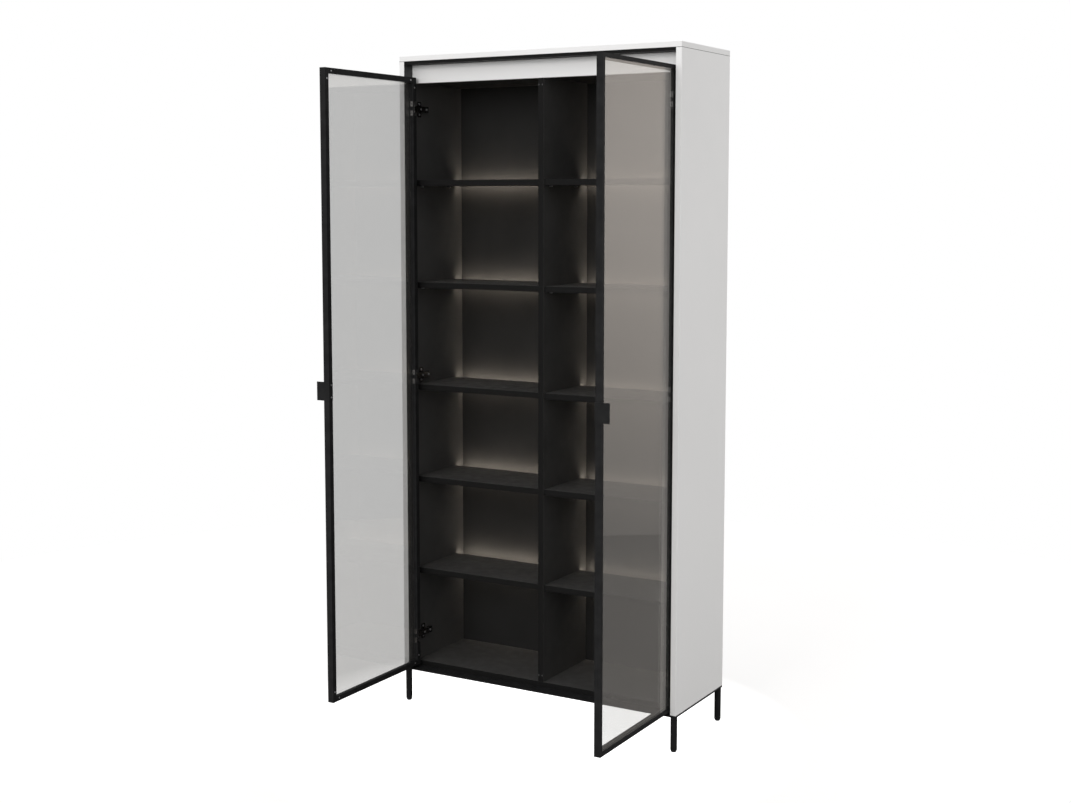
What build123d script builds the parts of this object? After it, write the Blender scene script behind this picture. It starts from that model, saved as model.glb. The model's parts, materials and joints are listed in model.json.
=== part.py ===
from build123d import *
import os

# China cabinet with two glass doors, shown with both doors open at a right angle.
# Millimetres. +X to the right, -Y to the front, +Z up. The origin is on the floor, in
# the middle of the space that the cabinet and its open doors take up.

os.makedirs("parts", exist_ok=True)

# Driving dimensions of the cabinet
cabinet_width = 960.0
cabinet_depth = 338.0
cabinet_height = 2045.0
leg_length = 105.0
leg_diameter = 20.0
leg_inset = 10.5
base_thickness = 4.0
panel_thickness = 18.0
top_thickness = 16.0
lining_thickness = 1.5
carcass_recess = 45.0
board_thickness = 16.0
back_front = 320.0
back_thickness = 6.0
fascia_bottom = 1965.0
liner_height = 9.0
liner_setback = 3.0
lining_setback = 2.0

# Shelves, one set in each column
shelf_thickness = 18.0
shelf_front = 50.0
shelf_rear = 276.0
shelf_side_gap = 0.5
shelf_tops = [1666.0, 1346.0, 1022.0, 726.0, 429.0]
pin_diameter = 5.0
pin_depth = 7.0
pin_reach = 9.0
pin_places = [85.0, 240.0]

# Light bars behind the shelves
housing_depth = 8.3
housing_height = 12.0
diffuser_diameter = 10.0
diffuser_seat = 3.0
light_end_gap = 6.0

# Doors
door_width = 455.0
door_height = 1863.0
door_bottom = 118.0
door_face_inset = 22.5
door_hinge_end = 30.0
door_thickness = 19.5
lip_width = 11.0
lip_depth = 2.2
web_width = 6.2
glass_front = 2.6
glass_thickness = 4.0
glass_edge = 7.0
block_front = 7.4
frame_width = 16.0
frame_wall = 1.6
gasket_width = 10.6

# Door joint: the line that each door turns about
pivot_inset = 25.25
pivot_depth = 25.75

# Hinges
hinge_heights = [213.0, 1049.5, 1886.0]
notch_half_height = 22.0
notch_width = 12.4
notch_floor = 10.4
arm_half_height = 9.0
plate_half_height = 24.0

# Pulls
pull_height = 55.0
pull_reach = 24.0
pull_thickness = 1.5
pull_flange = 15.0

# Clearances on the diameter of bars that sit in drilled holes, and round edges
bar_clearance = 0.1
board_round = 0.6
shell_round = 0.8

# Derived planes and levels
half_width = cabinet_width / 2
open_door_reach = door_width + pull_thickness - door_hinge_end
front = (open_door_reach - cabinet_depth) / 2
rear = front + cabinet_depth
base_top = leg_length + base_thickness
shell_top = cabinet_height - top_thickness
inner_half = half_width - panel_thickness
wall_half = inner_half - lining_thickness
divider_half = panel_thickness / 2
carcass_front = front + carcass_recess
back_y = front + back_front
floor_top = base_top + board_thickness
door_top = door_bottom + door_height
door_face_x = half_width - door_face_inset
door_end_y = front + door_hinge_end

SIDES = {"left": -1, "right": 1}


def save(part, name):
    """Labels a finished sub-part and writes it to its own file."""
    part.label = name
    export_step(part, f"parts/{name}.step")


def block(x0, x1, y0, y1, z0, z1, mode=Mode.ADD):
    """A box between two corners, inside the current part."""
    with Locations(((x0 + x1) / 2, (y0 + y1) / 2, (z0 + z1) / 2)):
        Box(abs(x1 - x0), y1 - y0, z1 - z0, mode=mode)


def rod_x(x0, x1, y, z, diameter, mode=Mode.ADD):
    """A round bar along X between two stations, inside the current part."""
    with Locations(Location(((x0 + x1) / 2, y, z), (0, 90, 0))):
        Cylinder(diameter / 2, abs(x1 - x0), mode=mode)


def rod_y(x, y0, y1, z, diameter, mode=Mode.ADD):
    """A round bar along Y between two stations, inside the current part."""
    with Locations(Location((x, (y0 + y1) / 2, z), (90, 0, 0))):
        Cylinder(diameter / 2, y1 - y0, mode=mode)


def rod_z(x, y, z0, z1, diameter, mode=Mode.ADD):
    """A round bar along Z between two levels, inside the current part."""
    with Locations((x, y, (z0 + z1) / 2)):
        Cylinder(diameter / 2, z1 - z0, mode=mode)


# ---------------------------------------------------------------- legs and base

leg_places = [
    (side * (half_width - leg_inset), y)
    for side in (-1, 1)
    for y in (front + leg_inset, rear - leg_inset)
]
leg_names = ["front_left_leg", "rear_left_leg", "front_right_leg", "rear_right_leg"]
stud_diameter = 8.0
stud_into_leg = 20.0
stud_into_side = 24.0
stud_end_room = 1.0
glide_height = 6.0
glide_spigot = 12.0
glide_step = 0.5
glide_round = 3.0
leg_chamfer = 0.6
stud_hole = stud_diameter + bar_clearance

for name, (x, y) in zip(leg_names, leg_places):
    with BuildPart() as leg:
        rod_z(x, y, glide_height, leg_length, leg_diameter)
        leg_rims = leg.edges().filter_by(GeomType.CIRCLE)
        chamfer(leg_rims, leg_chamfer)
        rod_z(x, y, leg_length - stud_into_leg, leg_length, stud_hole, Mode.SUBTRACT)
        rod_z(x, y, glide_height, glide_height + glide_spigot, stud_hole, Mode.SUBTRACT)
    save(leg.part, name)

with BuildPart() as leg_studs:
    for x, y in leg_places:
        rod_z(x, y, leg_length - stud_into_leg, base_top + stud_into_side, stud_diameter)
save(leg_studs.part, "leg_studs")

with BuildPart() as leg_glides:
    for x, y in leg_places:
        with BuildSketch(Plane.XY):
            with Locations((x, y)):
                Circle(leg_diameter / 2 - glide_step)
        extrude(amount=glide_height)
    foot_rims = leg_glides.faces().sort_by(Axis.Z)[:len(leg_places)].edges()
    fillet(foot_rims, glide_round)
    for x, y in leg_places:
        rod_z(x, y, glide_height, glide_height + glide_spigot, stud_diameter)
save(leg_glides.part, "leg_glides")

base_corner_round = 2.0
with BuildPart() as base_plate:
    block(-half_width, half_width, front, rear, leg_length, base_top)
    fillet(base_plate.edges().filter_by(Axis.Z), base_corner_round)
    for x, y in leg_places:
        rod_z(x, y, leg_length, base_top, stud_hole, Mode.SUBTRACT)
save(base_plate.part, "base_plate")

# ---------------------------------------------------------------- outer shell

pin_ys = [front + place for place in pin_places]
pin_zs = [top - shelf_thickness - pin_diameter / 2 for top in shelf_tops]
peg_hole = pin_diameter + bar_clearance
dowel_diameter = 8.0
dowel_hole = dowel_diameter + bar_clearance
dowel_depth = 12.0
dowel_end_room = 0.5
dowel_ys = [front + 80.0, front + 285.0]
dowel_zs = [base_top + board_thickness / 2, fascia_bottom + board_thickness / 2]

for name, side in SIDES.items():
    with BuildPart() as side_panel:
        block(side * inner_half, side * half_width, front, rear, base_top, shell_top)
        fillet(side_panel.edges().filter_by(Axis.Z), shell_round)
        for y in pin_ys:
            for z in pin_zs:
                rod_x(side * inner_half, side * (inner_half + pin_depth), y, z, peg_hole, Mode.SUBTRACT)
        for y in dowel_ys:
            for z in dowel_zs:
                rod_x(side * inner_half, side * (inner_half + dowel_depth), y, z, dowel_hole, Mode.SUBTRACT)
        for x, y in leg_places:
            if x * side > 0:
                rod_z(x, y, base_top, base_top + stud_into_side + stud_end_room, stud_hole, Mode.SUBTRACT)
    save(side_panel.part, f"{name}_side_panel")

    with BuildPart() as side_lining:
        block(side * wall_half, side * inner_half, front + lining_setback, back_y, floor_top, fascia_bottom)
        for y in pin_ys:
            for z in pin_zs:
                rod_x(side * wall_half, side * inner_half, y, z, peg_hole, Mode.SUBTRACT)
    save(side_lining.part, f"{name}_side_lining")

with BuildPart() as top_panel:
    block(-half_width, half_width, front, rear, shell_top, cabinet_height)
    fillet(top_panel.edges(), shell_round)
save(top_panel.part, "top_panel")

fascia_back = carcass_front + panel_thickness
liner_bottom = shell_top - liner_height
with BuildPart() as top_liner:
    block(-inner_half, inner_half, front + liner_setback, fascia_back, liner_bottom, shell_top)
save(top_liner.part, "top_liner")

with BuildPart() as top_fascia:
    block(-inner_half, inner_half, carcass_front, fascia_back, fascia_bottom, liner_bottom)
    fillet(top_fascia.edges().filter_by(Axis.X), board_round)
save(top_fascia.part, "top_fascia")

# ---------------------------------------------------------------- black carcass

dowel_start = inner_half - dowel_depth
ceiling_top = fascia_bottom + board_thickness
with BuildPart() as carcass_top:
    block(-inner_half, inner_half, fascia_back, back_y, fascia_bottom, ceiling_top)
    for side in SIDES.values():
        for y in dowel_ys:
            rod_x(side * dowel_start, side * inner_half, y, dowel_zs[1], dowel_hole, Mode.SUBTRACT)
save(carcass_top.part, "carcass_top")

with BuildPart() as bottom_board:
    block(-inner_half, inner_half, carcass_front, back_y, base_top, floor_top)
    fillet(bottom_board.edges().filter_by(Axis.X).group_by(Axis.Y)[0], board_round)
    for side in SIDES.values():
        for y in dowel_ys:
            rod_x(side * dowel_start, side * inner_half, y, dowel_zs[0], dowel_hole, Mode.SUBTRACT)
save(bottom_board.part, "bottom_board")

with BuildPart() as centre_divider:
    block(-divider_half, divider_half, carcass_front, back_y, floor_top, fascia_bottom)
    fillet(centre_divider.edges().filter_by(Axis.Z).group_by(Axis.Y)[0], board_round)
    for y in pin_ys:
        for z in pin_zs:
            rod_x(-divider_half, divider_half, y, z, peg_hole, Mode.SUBTRACT)
save(centre_divider.part, "centre_divider")

with BuildPart() as back_panel:
    block(-inner_half, inner_half, back_y, back_y + back_thickness, base_top, shell_top)
save(back_panel.part, "back_panel")

dowel_near = dowel_start + dowel_end_room
dowel_far = inner_half + dowel_depth - dowel_end_room
with BuildPart() as carcass_dowels:
    for side in SIDES.values():
        for y in dowel_ys:
            for z in dowel_zs:
                rod_x(side * dowel_near, side * dowel_far, y, z, dowel_diameter)
save(carcass_dowels.part, "carcass_dowels")

for name, side in SIDES.items():
    for number, top in enumerate(shelf_tops, start=1):
        with BuildPart() as shelf:
            block(side * (divider_half + shelf_side_gap), side * (wall_half - shelf_side_gap),
                  front + shelf_front, front + shelf_rear, top - shelf_thickness, top)
            fillet(shelf.edges().filter_by(Axis.X).group_by(Axis.Y)[0], board_round)
        save(shelf.part, f"{name}_shelf_{number}")

pin_near = wall_half - pin_reach
pin_far = inner_half + pin_depth
divider_pin = divider_half + pin_reach
with BuildPart() as shelf_pins:
    for y in pin_ys:
        for z in pin_zs:
            for side in SIDES.values():
                rod_x(side * pin_near, side * pin_far, y, z, pin_diameter)
            rod_x(-divider_pin, divider_pin, y, z, pin_diameter)
save(shelf_pins.part, "shelf_pins")

# ---------------------------------------------------------------- light bars

light_inner = divider_half + light_end_gap
light_outer = wall_half - light_end_gap
housing_y = front + shelf_rear
diffuser_y = housing_y + housing_depth
light_zs = [top - shelf_thickness / 2 for top in shelf_tops]
diffuser_radius = diffuser_diameter / 2

with BuildPart() as light_housings:
    for side in SIDES.values():
        near = side * light_inner
        far = side * light_outer
        for z in light_zs:
            block(near, far, housing_y, diffuser_y, z - housing_height / 2, z + housing_height / 2)
            block(near, far, diffuser_y - diffuser_seat, diffuser_y,
                  z - diffuser_radius, z + diffuser_radius, Mode.SUBTRACT)
save(light_housings.part, "light_housings")

with BuildPart() as light_diffusers:
    for side in SIDES.values():
        for z in light_zs:
            with BuildSketch(Plane.YZ.offset(min(side * light_inner, side * light_outer))):
                with Locations((diffuser_y, z)):
                    Circle(diffuser_radius)
                with Locations((diffuser_y - diffuser_radius, z)):
                    Rectangle(diffuser_diameter, diffuser_diameter, mode=Mode.SUBTRACT)
                with Locations((diffuser_y - diffuser_seat / 2, z)):
                    Rectangle(diffuser_seat, diffuser_diameter)
            extrude(amount=light_outer - light_inner)
save(light_diffusers.part, "light_diffusers")

driver_length = 170.0
driver_width = 44.0
driver_height = 24.0
driver_front = back_y - 90.0
driver_round = 4.0
with BuildPart() as light_driver:
    block(-driver_length / 2, driver_length / 2, driver_front, driver_front + driver_width,
          ceiling_top, ceiling_top + driver_height)
    fillet(light_driver.edges().filter_by(Axis.Z), driver_round)
save(light_driver.part, "light_driver")

duct_width = 16.0
duct_offset = divider_half + 60.0
duct_bottom = shelf_tops[-1] - 60.0
duct_rear = rear - 1.0
with BuildPart() as wiring_ducts:
    for side in SIDES.values():
        duct_x = side * duct_offset
        block(duct_x - duct_width / 2, duct_x + duct_width / 2, back_y + back_thickness, duct_rear,
              duct_bottom, ceiling_top)
save(wiring_ducts.part, "wiring_ducts")

# ---------------------------------------------------------------- doors


def door_plane(side, near, far):
    """The door's plane with its normal to -X, at the slab's side that has the larger X.

    Its own x runs from the hinge end to the free end and its own y is the height.
    """
    x = max(side * (door_face_x - near), side * (door_face_x - far))
    return Plane(origin=(x, door_end_y, 0), x_dir=(0, -1, 0), z_dir=(-1, 0, 0))


def door_slab(side, points, near, far, mode=Mode.ADD):
    """An outline in the door's plane, thickened between two depths behind its outer face."""
    with BuildSketch(door_plane(side, near, far)) as outline:
        with BuildLine():
            Polyline(*points, close=True)
        make_face()
    extrude(outline.sketch, amount=far - near, mode=mode)


def rectangle_points(s0, s1, z0, z1):
    return [(s0, z0), (s1, z0), (s1, z1), (s0, z1)]


def corner_points(inset):
    """The door's four corners moved in from its edges, hinge end bottom first."""
    low = door_bottom + inset
    high = door_top - inset
    return [(inset, low), (door_width - inset, low), (door_width - inset, high), (inset, high)]


def mitred_points(member, outer_inset, inner_inset):
    """A frame member between two insets, with its ends cut at 45 degrees."""
    outer_corners = corner_points(outer_inset)
    inner_corners = corner_points(inner_inset)
    following = (member + 1) % 4
    outer = [outer_corners[member], outer_corners[following]]
    inner = [inner_corners[following], inner_corners[member]]
    return outer + inner


def ring(side, edge, inner, near, far, mode=Mode.ADD):
    """A rectangular ring that follows the door's edge."""
    for member in range(4):
        door_slab(side, mitred_points(member, edge, inner), near, far, mode)


def door_rod(side, s, z, near, far, diameter, mode=Mode.ADD):
    """A round bar square to the door's face."""
    with BuildSketch(door_plane(side, near, far)) as section:
        with Locations((s, z)):
            Circle(diameter / 2)
    extrude(section.sketch, amount=far - near, mode=mode)


FRAME_MEMBERS = {0: "bottom_rail", 1: "free_stile", 2: "top_rail", 3: "hinge_stile"}
block_middle = 9.0
rail_screw_reach = 29.0
stile_screw_reach = 31.0
corner_screws = []
for low in (True, False):
    for reach_s, reach_z in ((rail_screw_reach, block_middle), (block_middle, stile_screw_reach)):
        screw_z = door_bottom + reach_z if low else door_top - reach_z
        corner_screws += [(reach_s, screw_z), (door_width - reach_s, screw_z)]
pull_middle = door_bottom + door_height / 2
pull_screw_spread = 18.0
pull_screws = [
    (door_width - block_middle, pull_middle - pull_screw_spread),
    (door_width - block_middle, pull_middle + pull_screw_spread),
]
screw_diameter = 3.0
screw_hole = screw_diameter + bar_clearance
screw_grip = 4.5
screw_room = 5.0
head_diameter = 5.6
head_height = 0.9
pull_low = pull_middle - pull_height / 2
pull_high = pull_middle + pull_height / 2
pull_inner = door_thickness + pull_thickness
pull_end = door_width + pull_thickness
pull_bend = 1.2
key_width = 12.4
key_reach = 42.0
key_clearance = 0.2
chamber_near = block_front + frame_wall
chamber_far = door_thickness - frame_wall
seat_clearance = 0.1
seat_half_height = 30.0
seat_near = frame_wall + seat_clearance
seat_far = frame_width - frame_wall - seat_clearance
ear_offset = 14.0
ear_half_height = 8.0
ear_thickness = 1.2
ear_setback = 1.0

for name, side in SIDES.items():
    for member, member_name in FRAME_MEMBERS.items():
        with BuildPart() as frame_member:
            door_slab(side, mitred_points(member, 0, lip_width), 0, lip_depth)
            door_slab(side, mitred_points(member, 0, web_width), lip_depth, block_front)
            door_slab(side, mitred_points(member, 0, frame_width), block_front, door_thickness)
            door_slab(side, mitred_points(member, frame_wall, frame_width - frame_wall),
                      chamber_near, chamber_far, Mode.SUBTRACT)
            for s, z in corner_screws + pull_screws:
                door_rod(side, s, z, chamber_far, door_thickness, screw_hole, Mode.SUBTRACT)
            if member_name == "hinge_stile":
                for z in hinge_heights:
                    outline = rectangle_points(0, notch_width, z - notch_half_height, z + notch_half_height)
                    door_slab(side, outline, notch_floor, door_thickness, Mode.SUBTRACT)
        save(frame_member.part, f"{name}_door_{member_name}")

    with BuildPart() as corner_keys:
        gap = (frame_width - key_width) / 2
        for from_hinge in (True, False):
            for low in (True, False):
                s0 = gap if from_hinge else door_width - gap
                z0 = door_bottom + gap if low else door_top - gap
                ds = 1 if from_hinge else -1
                dz = 1 if low else -1
                outline = [
                    (s0, z0),
                    (s0 + ds * key_reach, z0),
                    (s0 + ds * key_reach, z0 + dz * key_width),
                    (s0 + ds * key_width, z0 + dz * key_width),
                    (s0 + ds * key_width, z0 + dz * key_reach),
                    (s0, z0 + dz * key_reach),
                ]
                door_slab(side, outline, chamber_near + key_clearance, chamber_far - key_clearance)
        for s, z in corner_screws:
            door_rod(side, s, z, chamber_far - screw_room, chamber_far, screw_hole, Mode.SUBTRACT)
    save(corner_keys.part, f"{name}_door_corner_keys")

    glass_back = glass_front + glass_thickness
    glass_outline = corner_points(glass_edge)
    with BuildPart() as door_glass:
        door_slab(side, glass_outline, glass_front, glass_back)
    save(door_glass.part, f"{name}_door_glass")

    with BuildPart() as door_gasket:
        ring(side, web_width, gasket_width, lip_depth, block_front)
        door_slab(side, glass_outline, glass_front, glass_back, Mode.SUBTRACT)
    save(door_gasket.part, f"{name}_door_gasket")

    with BuildPart() as door_pull:
        flange = rectangle_points(door_width - pull_flange, pull_end, pull_low, pull_high)
        door_slab(side, flange, door_thickness, pull_inner)
        blade = rectangle_points(door_width, pull_end, pull_low, pull_high)
        door_slab(side, blade, -pull_reach, door_thickness)
        bend_corner = (side * (door_face_x - pull_inner), door_end_y - pull_end, pull_middle)
        bend = door_pull.edges().filter_by(Axis.Z).sort_by_distance(bend_corner)[0]
        fillet(bend, pull_bend)
        for s, z in pull_screws:
            door_rod(side, s, z, door_thickness, pull_inner, screw_hole, Mode.SUBTRACT)
    save(door_pull.part, f"{name}_door_pull")

    with BuildPart() as door_screws:
        for seat, places in ((door_thickness, corner_screws), (pull_inner, pull_screws)):
            for s, z in places:
                door_rod(side, s, z, chamber_far - screw_grip, seat, screw_diameter)
                door_rod(side, s, z, seat, seat + head_height, head_diameter)
    save(door_screws.part, f"{name}_door_screws")

    with BuildPart() as hinge_cups:
        for z in hinge_heights:
            seat = rectangle_points(seat_near, seat_far, z - seat_half_height, z + seat_half_height)
            door_slab(side, seat, chamber_near + seat_clearance, notch_floor - seat_clearance)
            for dz in (-ear_offset, ear_offset):
                ear = rectangle_points(frame_width, frame_width + ear_thickness,
                                       z + dz - ear_half_height, z + dz + ear_half_height)
                door_slab(side, ear, block_middle, door_thickness - ear_setback)
    save(hinge_cups.part, f"{name}_door_hinge_cups")

# ---------------------------------------------------------------- hinge arms

nose_clearance = 9.25
nose_front = pivot_depth + nose_clearance
nose_inset = 21.3
arm_seat = 24.0
arm_neck = 32.2
arm_back = 35.0
arm_outline = [
    (nose_inset, nose_front),
    (29.5, nose_front),
    (arm_neck, nose_front + 3),
    (arm_neck, 50.0),
    (arm_back, 58.0),
    (arm_back, 106.0),
    (31.0, 112.0),
    (arm_seat, 112.0),
    (arm_seat, 62.0),
    (nose_inset, 56.0),
]
wing_front = 66.0
wing_rear = 86.0
wing_thickness = 2.5
plate_front = 62.5
plate_rear = 108.0
wall_inset = panel_thickness + lining_thickness

wing_screw_y = front + (wing_front + wing_rear) / 2
wing_screw_spread = 16.0
wing_screw_diameter = 7.5
wing_screw_height = 1.4
arm_screw_y = front + 98.0
arm_screw_diameter = 8.0
arm_screw_height = 1.2

with BuildPart() as hinge_arms:
    for side in SIDES.values():
        arm_points = [(side * (half_width - inset), front + depth) for inset, depth in arm_outline]
        for z in hinge_heights:
            with BuildSketch(Plane.XY.offset(z - arm_half_height)):
                with BuildLine():
                    Polyline(*arm_points, close=True)
                make_face()
            extrude(amount=2 * arm_half_height)
save(hinge_arms.part, "hinge_arms")

with BuildPart() as hinge_plates:
    for side in SIDES.values():
        wall_x = side * (half_width - wall_inset)
        for z in hinge_heights:
            block(side * (half_width - arm_seat), wall_x, front + plate_front, front + plate_rear,
                  z - arm_half_height, z + arm_half_height)
            block(wall_x - side * wing_thickness, wall_x, front + wing_front, front + wing_rear,
                  z - plate_half_height, z + plate_half_height)
save(hinge_plates.part, "hinge_plates")

with BuildPart() as hinge_screws:
    for side in SIDES.values():
        wing_x = side * (half_width - wall_inset - wing_thickness)
        arm_x = side * (half_width - arm_back)
        for z in hinge_heights:
            for dz in (-wing_screw_spread, wing_screw_spread):
                rod_x(wing_x - side * wing_screw_height, wing_x, wing_screw_y, z + dz, wing_screw_diameter)
            rod_x(arm_x - side * arm_screw_height, arm_x, arm_screw_y, z, arm_screw_diameter)
save(hinge_screws.part, "hinge_screws")

# ---------------------------------------------------------------- small carcass fittings

bumper_x = 6.0
bumper_diameter = 5.0
bumper_height = 1.5
bumper_end_gap = 20.0
bumper_zs = [floor_top + bumper_end_gap, fascia_bottom - bumper_end_gap]
with BuildPart() as door_bumpers:
    for side in SIDES.values():
        for z in bumper_zs:
            rod_y(side * bumper_x, carcass_front - bumper_height, carcass_front, z, bumper_diameter)
save(door_bumpers.part, "door_bumpers")

bracket_width = 40.0
bracket_drop = 30.0
bracket_thickness = 2.0
bracket_hole = 6.0
bracket_x = half_width - 90.0
bracket_near = back_y + back_thickness
bracket_far = bracket_near + bracket_thickness
with BuildPart() as wall_brackets:
    for side in SIDES.values():
        x = side * bracket_x
        block(x - bracket_width / 2, x + bracket_width / 2, bracket_near, bracket_far,
              shell_top - bracket_drop, shell_top)
        rod_y(x, bracket_near, bracket_far, shell_top - bracket_drop / 2, bracket_hole, Mode.SUBTRACT)
save(wall_brackets.part, "wall_brackets")
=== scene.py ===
"""China cabinet with two glass doors: finishes, small fittings, lights and camera."""
import json
import math

import bmesh
import bpy
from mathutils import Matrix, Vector


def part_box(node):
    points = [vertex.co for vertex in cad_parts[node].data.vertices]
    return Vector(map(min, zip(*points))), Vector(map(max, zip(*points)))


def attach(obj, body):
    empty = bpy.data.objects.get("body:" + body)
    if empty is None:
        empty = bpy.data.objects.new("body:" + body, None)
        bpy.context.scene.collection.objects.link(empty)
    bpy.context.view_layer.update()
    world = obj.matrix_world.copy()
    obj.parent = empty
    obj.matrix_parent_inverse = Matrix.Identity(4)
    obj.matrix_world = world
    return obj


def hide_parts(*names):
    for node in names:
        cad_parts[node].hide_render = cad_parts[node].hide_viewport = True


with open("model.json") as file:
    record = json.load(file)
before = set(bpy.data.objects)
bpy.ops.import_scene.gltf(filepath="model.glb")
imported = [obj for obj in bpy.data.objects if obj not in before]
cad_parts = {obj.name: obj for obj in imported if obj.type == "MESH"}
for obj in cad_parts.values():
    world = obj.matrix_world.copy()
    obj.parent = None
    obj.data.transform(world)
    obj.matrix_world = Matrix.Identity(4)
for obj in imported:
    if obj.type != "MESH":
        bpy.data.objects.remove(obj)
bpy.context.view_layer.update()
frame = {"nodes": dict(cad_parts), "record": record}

bl_info = {
    "name": "China cabinet",
    "version": (1, 0, 0),
    "blender": (4, 5, 0),
    "location": "3D View > Sidebar > Cabinet",
    "description": "Finishes a two-door display cabinet and builds its small fittings",
    "category": "Object",
}

# ------------------------------------------------------------------ measures read from the frame

MM = 0.001
SIDES = {"left": -1, "right": 1}
HINGES_PER_DOOR = 3
SCREW_HEAD = 0.9 * MM
SCREW_SHANK = 4.5 * MM
WELD = 0.001 * MM


def hinge_faces():
    """The planes that the hinges are set out from, on the right-hand side."""
    panel_low, panel_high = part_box("right_side_panel")
    door_low, door_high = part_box("right_door_hinge_stile")
    return {
        "half_width": panel_high.x,
        "front": panel_low.y,
        "wall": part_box("right_side_lining")[0].x,
        "door_face": door_high.x,
        "door_end": door_high.y,
    }


def islands(node):
    """The lowest and highest corner of every separate solid in a CAD node."""
    if node not in frame["nodes"]:
        raise RuntimeError(f"the frame has no {node}")
    mesh = bmesh.new()
    mesh.from_mesh(frame["nodes"][node].data)
    bmesh.ops.remove_doubles(mesh, verts=mesh.verts, dist=WELD)
    seen = set()
    boxes = []
    for start in mesh.verts:
        if start in seen:
            continue
        stack = [start]
        seen.add(start)
        points = []
        while stack:
            vert = stack.pop()
            points.append(vert.co.copy())
            for edge in vert.link_edges:
                other = edge.other_vert(vert)
                if other not in seen:
                    seen.add(other)
                    stack.append(other)
        low = Vector([min(p[i] for p in points) for i in range(3)])
        high = Vector([max(p[i] for p in points) for i in range(3)])
        boxes.append((low, high))
    mesh.free()
    if not boxes:
        raise RuntimeError(f"{node} has no solids")
    return sorted(boxes, key=lambda b: (round(b[0].z, 4), round(b[0].x, 4), round(b[0].y, 4)))


# ------------------------------------------------------------------ settings

class CabinetFinish(bpy.types.PropertyGroup):
    """Colours and small sizes that a user would change."""

    shell_colour: bpy.props.FloatVectorProperty(
        name="Shell lacquer", description="Colour of the white outer boards",
        subtype="COLOR", size=3, min=0, max=1, default=(0.825, 0.820, 0.810))
    carcass_colour: bpy.props.FloatVectorProperty(
        name="Carcass foil", description="Colour of the black inner boards",
        subtype="COLOR", size=3, min=0, max=1, default=(0.0580, 0.0570, 0.0555))
    metal_colour: bpy.props.FloatVectorProperty(
        name="Frame powder coat", description="Colour of door frames, pulls, legs and base",
        subtype="COLOR", size=3, min=0, max=1, default=(0.0170, 0.0170, 0.0173))
    glass_tint: bpy.props.FloatVectorProperty(
        name="Glass tint", description="Tint of the door glass",
        subtype="COLOR", size=3, min=0, max=1, default=(0.797, 0.797, 0.794))
    light_colour: bpy.props.FloatVectorProperty(
        name="Light colour", description="Colour of the shelf lights",
        subtype="COLOR", size=3, min=0, max=1, default=(1.0, 0.88, 0.74))
    light_power: bpy.props.FloatProperty(
        name="Light strength", description="Strength of the shelf lights", min=0, default=31.0)
    lacquer_round: bpy.props.FloatProperty(
        name="Shell edge rounding", description="Rounding of the white boards' edges",
        unit="LENGTH", subtype="DISTANCE", min=0, default=1.2 * MM)
    edge_round: bpy.props.FloatProperty(
        name="Edge rounding", description="Rounding of board and profile edges",
        unit="LENGTH", subtype="DISTANCE", min=0, default=0.4 * MM)


# ------------------------------------------------------------------ finishes


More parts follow.
